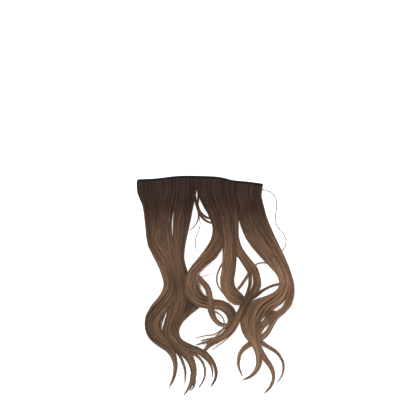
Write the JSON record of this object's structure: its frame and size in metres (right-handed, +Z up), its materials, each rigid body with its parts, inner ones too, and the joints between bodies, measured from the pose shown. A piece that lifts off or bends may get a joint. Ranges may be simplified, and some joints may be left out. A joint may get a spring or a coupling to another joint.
{
  "type": "clip-in hairpiece",
  "caption": "Clip-in hairpiece lying flat: wavy locks, dark at the roots and lighter at the tips, fall from an arched sewn band of stacked tracks with snap clips beneath.",
  "frame": {"origin": "middle of the part's box in plan, on the surface that it lies on", "axes": "+X along the sewn edge to the right, +Y from the hair's tips to the sewn edge, +Z up from the surface, out of the hair's face"},
  "size_m": [0.251, 0.3508, 0.0149],
  "materials": {
    "hair": "satin hair, dark brown at the roots and mid brown from the middle to the tips",
    "track": "matt black-brown stitched weft",
    "clip": "dark satin steel"
  },
  "bodies": {
    "root": {"weft_band": "track", "weft_row_2": "track", "weft_row_3": "track", "hair_left_fall": "hair", "hair_middle_fall": "hair", "hair_right_fall": "hair", "clip_1": "clip", "clip_2": "clip", "clip_3": "clip", "clip_4": "clip"}
  },
  "joints": []
}
